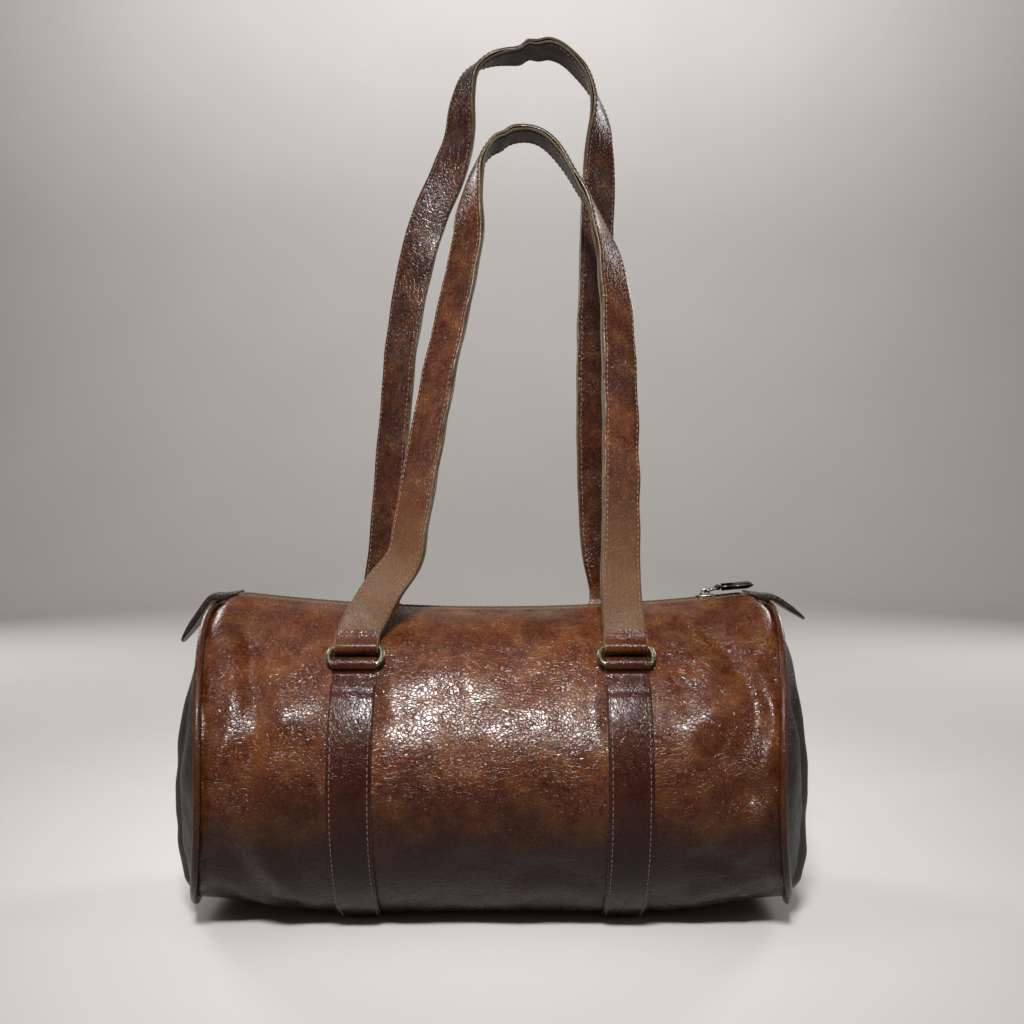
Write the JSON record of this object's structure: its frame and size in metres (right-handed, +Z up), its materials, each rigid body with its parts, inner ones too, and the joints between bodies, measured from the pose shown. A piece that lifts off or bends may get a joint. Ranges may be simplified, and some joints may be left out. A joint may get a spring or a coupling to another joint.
{
  "type": "shoulder bag",
  "caption": "Leather barrel shoulder bag with a top zip, domed ends, stitched bands under the belly and flat straps on pivoting metal rings.",
  "frame": {"origin": "middle of the bag's footprint, on the surface that it stands on", "axes": "+Z up, with the straps held up; +X to the end that the zip slider is parked at; -Y to the front"},
  "size_m": [0.346, 0.1702, 0.4983],
  "materials": {
    "body_leather": "glazed pebbled",
    "end_leather": "glazed pebbled",
    "piping_leather": "glazed",
    "band_leather": "glazed smooth",
    "strap_leather": "glazed smooth",
    "strap_backing": "matt",
    "tab_leather": "glazed smooth",
    "lining_cotton": "plain weave",
    "zip_tape": "twill tape",
    "zip_metal": "dark oxidised",
    "gunmetal": "gunmetal plate",
    "antique_brass": "antique plate"
  },
  "bodies": {
    "bag": {"body_panel": "body_leather", "end_panel_left": "end_leather", "end_panel_right": "end_leather", "piping_left": "piping_leather", "piping_right": "piping_leather", "band_left": "band_leather", "band_right": "band_leather", "chape_front_left": "band_leather", "chape_front_right": "band_leather", "chape_rear_left": "band_leather", "chape_rear_right": "band_leather", "lining_wrap": "lining_cotton", "lining_end_left": "lining_cotton", "lining_end_right": "lining_cotton", "zip_tape_front": "zip_tape", "zip_tape_back": "zip_tape", "zip_teeth_front": "zip_metal", "zip_teeth_back": "zip_metal", "zip_stops": "zip_metal", "zip_tab_left": "tab_leather", "zip_tab_right": "tab_leather"},
    "zip_slider": {"zip_slider": "antique_brass"},
    "zip_pull_link": {"zip_pull_link": "gunmetal"},
    "zip_pull": {"zip_pull": "gunmetal"},
    "ring_front_left": {"ring_front_left": "antique_brass"},
    "ring_front_right": {"ring_front_right": "antique_brass"},
    "ring_rear_left": {"ring_rear_left": "antique_brass"},
    "ring_rear_right": {"ring_rear_right": "antique_brass"},
    "front_strap": {"strap_front_outer": "strap_leather", "strap_front_backing": "strap_backing", "strap_front_loop_left": "strap_leather", "strap_front_loop_right": "strap_leather"},
    "rear_strap": {"strap_rear_outer": "strap_leather", "strap_rear_backing": "strap_backing", "strap_rear_loop_left": "strap_leather", "strap_rear_loop_right": "strap_leather"}
  },
  "joints": [
    {"name": "zip_run", "type": "hinge", "parent": "bag", "child": "zip_slider", "pos_m": [0, 0, 1.3201], "axis": [0, 1, 0], "range_deg": [0, 11.63]},
    {"name": "pull_link_swing", "type": "hinge", "parent": "zip_slider", "child": "zip_pull_link", "pos_m": [0.1172, 0, 0.169], "axis": [0, -1, 0], "range_deg": [0, 90]},
    {"name": "pull_swing", "type": "hinge", "parent": "zip_pull_link", "child": "zip_pull", "pos_m": [0.12434, 0, 0.1713], "axis": [0, -1, 0], "range_deg": [0, 85]},
    {"name": "ring_front_left_swing", "type": "hinge", "parent": "bag", "child": "ring_front_left", "pos_m": [-0.068, -0.0607, 0.13736], "axis": [1, 0, 0], "range_deg": [0, 80]},
    {"name": "ring_front_right_swing", "type": "hinge", "parent": "bag", "child": "ring_front_right", "pos_m": [0.068, -0.0607, 0.13736], "axis": [1, 0, 0], "range_deg": [0, 80]},
    {"name": "front_strap_swing", "type": "hinge", "parent": "ring_front_left", "child": "front_strap", "pos_m": [-0.068, -0.05311, 0.14447], "axis": [1, 0, 0], "range_deg": [0, 50]},
    {"name": "ring_rear_left_swing", "type": "hinge", "parent": "bag", "child": "ring_rear_left", "pos_m": [-0.068, 0.05002, 0.14701], "axis": [-1, 0, 0], "range_deg": [0, 55]},
    {"name": "ring_rear_right_swing", "type": "hinge", "parent": "bag", "child": "ring_rear_right", "pos_m": [0.068, 0.05002, 0.14701], "axis": [-1, 0, 0], "range_deg": [0, 55]},
    {"name": "rear_strap_swing", "type": "hinge", "parent": "ring_rear_left", "child": "rear_strap", "pos_m": [-0.068, 0.04821, 0.15725], "axis": [-1, 0, 0], "range_deg": [0, 53]}
  ],
  "couplings": [
    {"joint": "ring_front_right_swing", "follows": "ring_front_left_swing", "ratio": 1},
    {"joint": "ring_rear_right_swing", "follows": "ring_rear_left_swing", "ratio": 1}
  ]
}
